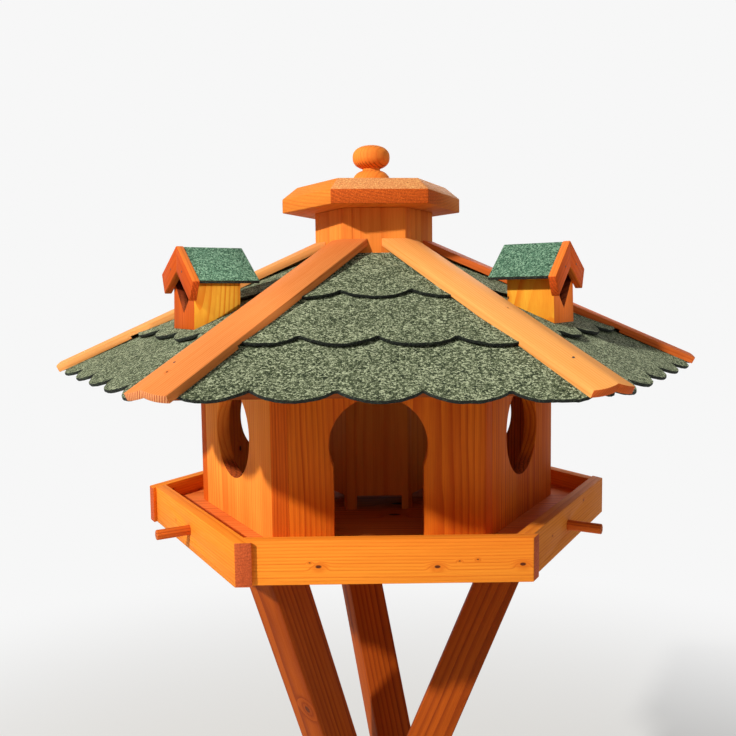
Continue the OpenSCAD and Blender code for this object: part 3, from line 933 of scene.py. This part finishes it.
t.links.new(ramp(t, big.outputs["Distance"], 0.0, 0.75, 1.0, 0.0), result["Dome"])
t.links.new(noise(t, stretch(t, given["Vector"], 28, 28, 28), detail=3), result["Drift"])
print("group", granules.name, "has", len(granules.nodes), "nodes")

# %% [markdown]
# ## Felt and its cut edge
# Most granules are of a middle shade, with darker gaps and a few pale ones, so two steps over the
# random shade mix three colours. The face scatters light evenly, like any rough stone, which is
# what the diffuse roughness is for: a slope turned away from the lamp stays as bright as it does
# outdoors. A cut edge shows the black core.

# %% Felt materials
def felt(name, dark, middle, light, size):
    """A felt's granule face. The granules' size is in mm."""
    material, t, shader = new_material(name)
    spot = add(t, "ShaderNodeTexCoord")
    grit = place(t, granules, Vector=spot.outputs["Object"], Size=size * MM)
    shade = maths(t, "ADD", grit["Shade"], maths(t, "MULTIPLY_ADD", grit["Drift"], 0.16, -0.08))
    tone = blend(t, ramp(t, shade, 0.24, 0.46), colour(*dark), colour(*middle))
    tone = blend(t, ramp(t, shade, 0.56, 0.76), tone, colour(*light))
    t.links.new(tone, shader.inputs["Base Color"])
    bump = add(t, "ShaderNodeBump", {"Height": maths(t, "ADD", grit["Dome"], grit["Shade"]),
                                     "Strength": 0.6, "Distance": 0.0006})
    t.links.new(bump.outputs[0], shader.inputs["Normal"])
    shader.inputs["Roughness"].default_value = 0.92
    shader.inputs["Diffuse Roughness"].default_value = 1.0
    shader.inputs["Specular IOR Level"].default_value = 0.1
    return material


def bitumen(name):
    """The black core that shows at a cut edge, with a few granules stuck to it."""
    material, t, shader = new_material(name)
    spot = add(t, "ShaderNodeTexCoord")
    grit = place(t, granules, Vector=spot.outputs["Object"], Size=1.4 * MM)
    t.links.new(blend(t, ramp(t, grit["Shade"], 0.62, 0.86, 0.0, 0.4), colour(22, 26, 22),
                      colour(90, 104, 80)), shader.inputs["Base Color"])
    bump = add(t, "ShaderNodeBump", {"Height": grit["Dome"], "Strength": 0.7, "Distance": 0.0006})
    t.links.new(bump.outputs[0], shader.inputs["Normal"])
    shader.inputs["Roughness"].default_value = 0.85
    shader.inputs["Specular IOR Level"].default_value = 0.25
    return material


shingle_face = felt("shingle_granules", (38, 46, 34), (90, 99, 73), (178, 186, 154), size=1.7)
shingle_edge = bitumen("bitumen_edge")
print("felt finishes:", shingle_face.name, "and", shingle_edge.name)

# %% [markdown]
# ## Shingles
# A course is a strip of felt whose lower edge is cut to lobes. The solid has the outline, but it
# is perfectly flat. A laid strip is not: it waves a little, its edge is frayed by granules, and
# on the front face the lower two strips were not laid quite level. A strip is therefore built
# as a grid with one column every few millimetres. Each column runs from the strip's top, or from
# the hip where that is lower, down to the lobed edge. The grid can then be bent anywhere.
# The corners that would stick out past the battens are trimmed, as a roofer does with a knife.
# First come the distances down the slope at which each course starts and ends.

# %% Where the courses lie
SILO_S = SILO_R * FLAT / math.cos(PITCH) + 0.3 * MM
RISE = SHEET / min(FIRST_STEP, STEP)


def tip(k):
    """Slope distance of the lobe tips of course k."""
    return EAVE_S - (FIRST_STEP if k else 0) - max(0, k - 1) * STEP


def lay_start(k):
    """Slope distance at which the underside of course k meets the roof boards."""
    return tip(k + 1) - LOBE_H - LAP if k < 2 else min(tip(3) - LOBE_H - LAP, SILO_S)


print("lobe tips of the courses:", [round(tip(k), 4) for k in range(3)])

# %% [markdown]
# ## How a strip was laid
# SKEW says by how much a strip slopes along the eave. LAID says how far it lies up the roof and
# along it, in mm. Both are given by course and side. The felt itself waves slowly, its edge is
# frayed by a fraction of a millimetre, and the free lobes lift a little off the course below. A
# few lengths in one place say how much of each there is, so they are easy to try out.

# %% How a strip was laid
SKEW = {(0, 0): 0.030, (1, 0): 0.030, (0, 1): 0.004, (1, 5): -0.006}
LAID = {(0, 0): (1.3, 0), (0, 5): (2.5, 5), (1, 5): (5, 8), (0, 1): (1, -8), (1, 1): (2, -9)}
BATTEN_END_R = 0.352
SIDE_GAP = 0.3 * MM
FRAY = 0.3 * MM
BODY_WAVE = 0.35 * MM
EDGE_WAVE = 0.5 * MM
EDGE_LIFT = 0.8 * MM
EDGE_BAND = 14 * MM
NOSE = 0.5 * MM
COLUMN_W = 2.6 * MM
ROWS = 14
CROWDING = 1.35
print("strips have a column every", COLUMN_W, "m and", ROWS, "rows")

# %% [markdown]
# ## Edge and lift of a strip
# Four small functions describe a laid strip in numbers: how the felt waves, where the hip cuts
# it, where its lobed edge runs, and how high each point of it lies over the boards. A lobe is a
# piece of a circle, given by its width and its height.

# %% Edge and lift of a strip
def wave(x, y, seed):
    """A slow unevenness between -1 and 1."""
    return (math.sin(x * 61 + seed) * math.cos(y * 47 - 2 * seed)
            + 0.5 * math.sin(x * 143 - 1.7 * seed + y * 90)) / 1.5


def hip_at(y):
    """Slope distance of the hip at a place y along the eave."""
    return (abs(y) + SIDE_GAP) / (math.tan(math.radians(30)) * math.cos(PITCH))


def edge_at(y, side, k):
    """Slope distance of the lobed edge of course k at a place y along the eave."""
    up_by, along_by = [amount * MM for amount in LAID.get((k, side), (0, 0))]
    circle = ((LOBE_W / 2) ** 2 + LOBE_H ** 2) / (2 * LOBE_H)
    shift = 0 if k % 2 == 0 else LOBE_W / 2
    local = (y - shift - along_by + LOBE_W / 2) % LOBE_W - LOBE_W / 2
    skew = SKEW.get((k, side), 0.0)
    lobed = tip(k) - up_by - circle + math.sqrt(circle ** 2 - local ** 2) + y * skew
    trimmed = (BATTEN_END_R - 0.5 * abs(y)) / (FLAT * math.cos(PITCH))
    return min(lobed, trimmed, EAVE_S)


def lift_at(y, d, low, high, side, k):
    """Height of a strip's underside over the roof boards, at a distance d down the slope."""
    rise = RISE if k else 0
    near_edge = max(0, 1 - (low - d) / EDGE_BAND)
    lift = max(0, d - lay_start(k)) * rise
    lift += BODY_WAVE * wave(y, d, 5 * side + k) * min(1, (d - high) / 0.02)
    lift += EDGE_WAVE * near_edge ** 2 * wave(2.2 * y, d, side + 3 * k)
    lift += EDGE_LIFT * near_edge ** 2 * min(k, 1)
    return max(lift, 0)


print("the front's lowest lobes end at", [round(edge_at(n * LOBE_W, 0, 0), 4) for n in (-2, 0, 2)])

# %% [markdown]
# ## Building a strip
# Each column of the grid is a list of pairs, one point on the granule face and one under it. The
# last pair is one point named twice, the nose of the cut edge. Neighbouring columns are then
# joined by faces. The rows lie closer together toward the lobes, where the strip bends most. How
# far they crowd is a power: 1 would space them evenly.

# %% Points of a strip
def strip_columns(bm, side, k):
    """The columns of points of course k on one roof face."""
    draw = random.Random(97 * side + k)
    ahead = outward(side)
    down = ahead * math.cos(PITCH) - Vector((0, 0, math.sin(PITCH)))
    up = ahead * math.sin(PITCH) + Vector((0, 0, math.cos(PITCH)))
    apex = Vector((0, 0, APEX_Z))
    ends_at = []
    for way in (-1, 1):
        y = 0.0
        while edge_at(way * y, side, k) - hip_at(y) > 1.0 * MM:
            y += 0.5 * MM
        ends_at.append(way * y)
    count = round((ends_at[1] - ends_at[0]) / COLUMN_W)
    columns = []
    for c in range(count + 1):
        y = ends_at[0] + (ends_at[1] - ends_at[0]) * c / count
        low = edge_at(y, side, k) + draw.uniform(-FRAY, FRAY)
        high = max(lay_start(k), SILO_S, hip_at(y))
        low = max(low, high + 0.5 * MM)
        column = []
        for r in range(ROWS + 1):
            d = high + (low - high) * (1 - (1 - r / ROWS) ** CROWDING)
            lift = lift_at(y, d, low, high, side, k)
            under = apex + down * d + sideways(side) * y + up * lift
            column.append((bm.verts.new(under + up * SHEET), bm.verts.new(under)))
        nose = apex + down * (low + NOSE) + sideways(side) * y + up * (lift + 0.45 * SHEET)
        column.append((bm.verts.new(nose),) * 2)
        columns.append(column)
    return columns


# %% Faces of a strip
def strip(bm, side, k):
    """Adds course k of one roof face to a mesh. Its edges and underside get material 1."""
    columns = strip_columns(bm, side, k)
    for a, b in zip(columns, columns[1:]):
        rims = [(a[0][0], b[0][0], b[0][1], a[0][1]),
                (a[ROWS][0], a[-1][0], b[-1][0], b[ROWS][0]),
                (a[ROWS][1], b[ROWS][1], b[-1][0], a[-1][0])]
        for r in range(ROWS):
            bm.faces.new((a[r][0], a[r + 1][0], b[r + 1][0], b[r][0]))
            rims.append((a[r][1], b[r][1], b[r + 1][1], a[r + 1][1]))
        for rim in rims:
            bm.faces.new(rim).material_index = 1
    for column, flip in ((columns[0], False), (columns[-1], True)):
        rims = [[column[r][0], column[r][1], column[r + 1][1], column[r + 1][0]]
                for r in range(ROWS)]
        rims.append([column[ROWS][0], column[ROWS][1], column[-1][0]])
        for rim in rims:
            bm.faces.new(rim[::-1] if flip else rim).material_index = 1


# %% [markdown]
# ## Laying the courses
# The six strips of a course become one piece, which stands for the solids of that course. It gets
# the granule face on top and the black core at its cut edges and underneath.

# %% Lay the courses
for k, name in enumerate(("lower", "middle", "upper")):
    bm = bmesh.new()
    for side in range(6):
        strip(bm, side, k)
    bmesh.ops.recalc_face_normals(bm, faces=bm.faces)
    stand_for("shingles_" + name, bm, [shingle_face, shingle_edge],
              name="shingle_strips_" + name, smooth=50)

# %% [markdown]
# ## Felt on the dormers
# The dormers have smooth sheets of another, greener felt, with finer granules. They are small
# and stiff, so the solids' own shape is good enough, with its edges eased.

# %% Felt on the dormers
dormer_face = felt("dormer_granules", (39, 66, 51), (86, 125, 100), (148, 182, 154), size=1.25)
bm = tidy_mesh("dormer_felts")
for face in bm.faces:
    face.material_index = 0 if face.normal.z > 0.5 else 1
stand_for("dormer_felts", bm, [dormer_face, shingle_edge], ease=0.5 * MM,
          name="dormer_felt_sheets")

# %% [markdown]
# ## Floor
# The floor is plain and pale and only there to catch a shadow. Far from the feeder it melts into
# the background, so that no horizon shows. Only the camera and mirror-like rays see it glow.
# Everything else sees the plain floor, so it lights the feeder from below as a real one would.

# %% Floor
WHITE = (0.93, 0.93, 0.93, 1)
FADE_FROM = 0.9
FADE_TO = 2.6


def seen_directly(tree):
    """1 for rays from the camera, from a mirror or through glass, 0 for the light itself."""
    ray = add(tree, "ShaderNodeLightPath").outputs
    bounced = maths(tree, "MAXIMUM", ray["Is Glossy Ray"], ray["Is Transmission Ray"])
    return maths(tree, "MAXIMUM", ray["Is Camera Ray"], bounced)


mesh = bpy.data.meshes.new("studio_floor")
bm = bmesh.new()
bmesh.ops.create_circle(bm, cap_ends=True, radius=14, segments=96)
bm.to_mesh(mesh)
bm.free()
floor = bpy.data.objects.new("studio_floor", mesh)
bpy.context.scene.collection.objects.link(floor)
floor.location.z = cad_box[0][2] - 0.5 * MM
material, t, shader = new_material("pale_floor")
t.nodes.clear()
spot = add(t, "ShaderNodeTexCoord").outputs["Object"]
distance = add(t, "ShaderNodeVectorMath", {0: spot}, operation="LENGTH").outputs["Value"]
fade = maths(t, "MULTIPLY", ramp(t, distance, FADE_FROM, FADE_TO), seen_directly(t))
plain = add(t, "ShaderNodeBsdfDiffuse", {"Color": (0.8, 0.8, 0.79, 1)}).outputs[0]
glow = add(t, "ShaderNodeEmission", {"Color": WHITE}).outputs[0]
mixed = add(t, "ShaderNodeMixShader", {0: fade, 1: plain, 2: glow}).outputs[0]
add(t, "ShaderNodeOutputMaterial", {0: mixed})
floor.data.materials.append(material)
print("floor fades out between", FADE_FROM, "and", FADE_TO, "m")

# %% [markdown]
# ## Background
# The world does two jobs. To the camera it is the even pale backdrop. To the feeder it is a weak
# light from all sides, which lifts the shade.

# %% World
world = bpy.data.worlds.new("studio")
bpy.context.scene.world = world
world.use_nodes = True
t = world.node_tree
t.nodes.clear()
light = add(t, "ShaderNodeBackground", {"Color": (1.0, 0.98, 0.95, 1), "Strength": 0.30}).outputs[0]
sky = add(t, "ShaderNodeBackground", {"Color": WHITE, "Strength": 1.0}).outputs[0]
mixed = add(t, "ShaderNodeMixShader", {0: seen_directly(t), 1: light, 2: sky}).outputs[0]
add(t, "ShaderNodeOutputWorld", {0: mixed})
print("background", world.name, "is ready")

# %% [markdown]
# ## Lamps
# The key lamp stands high in front on the left, like an afternoon sun through a small studio
# sheet. Its shadow of the eave falls slanting across the door wall. A weak lamp fills from the
# right, and one from behind keeps the back from going dull. Two narrow spots open up the
# dormers: the door side of the left one and the front of the right one look away from the key.

# %% Lamps
def lamp(name, kind, place_at, aim, watts, tint, **settings):
    """A lamp that looks at a point. settings go to its light data."""
    data = bpy.data.lights.new(name, kind)
    data.energy = watts
    data.color = tint
    for key, value in settings.items():
        setattr(data, key, value)
    it = bpy.data.objects.new(name, data)
    bpy.context.scene.collection.objects.link(it)
    it.location = place_at
    it.rotation_euler = (Vector(aim) - Vector(place_at)).to_track_quat("-Z", "Y").to_euler()
    print(name, "lamp:", watts, "W")


SUN_TINT = (1.0, 0.97, 0.92)
HOUSE = (0, 0, 1.15)
SPOT_REACH = 50 * MM
lamp("key", "AREA", (-2.24, -2.17, 3.03), HOUSE, 152, SUN_TINT, size=0.15)
lamp("fill", "AREA", (2.2, -2.4, 1.7), HOUSE, 4, (1.0, 0.98, 0.95), size=1.8)
lamp("back", "AREA", (0.6, 2.6, 2.6), HOUSE, 30, (1.0, 1.0, 1.0), size=1.6)
for name, away, shift, watts in (("left", (0.9, -1.5, 0.25), (0.01, -0.02, -0.012), 75),
                                 ("right", (1.5, -0.75, 0.2), (0.02, -0.01, 0.0), 42)):
    dormer = middle_of_node("dormer_" + name)
    beam = Vector(shift) - Vector(away)
    lamp("dormer_spot_" + name, "SPOT", dormer + Vector(away), dormer + Vector(shift), watts,
         SUN_TINT, spot_size=2 * math.atan(SPOT_REACH / beam.length), spot_blend=0.7,
         shadow_soft_size=0.03)

# %% [markdown]
# ## Last settings
# The colours are shown as they are mixed, with no film look on top. The solids' own box is
# printed.

# %% Last settings
bpy.context.scene.view_settings.view_transform = "Standard"
bpy.context.view_layer.update()
print("solid box ", [[round(c, 4) for c in p] for p in cad_box])
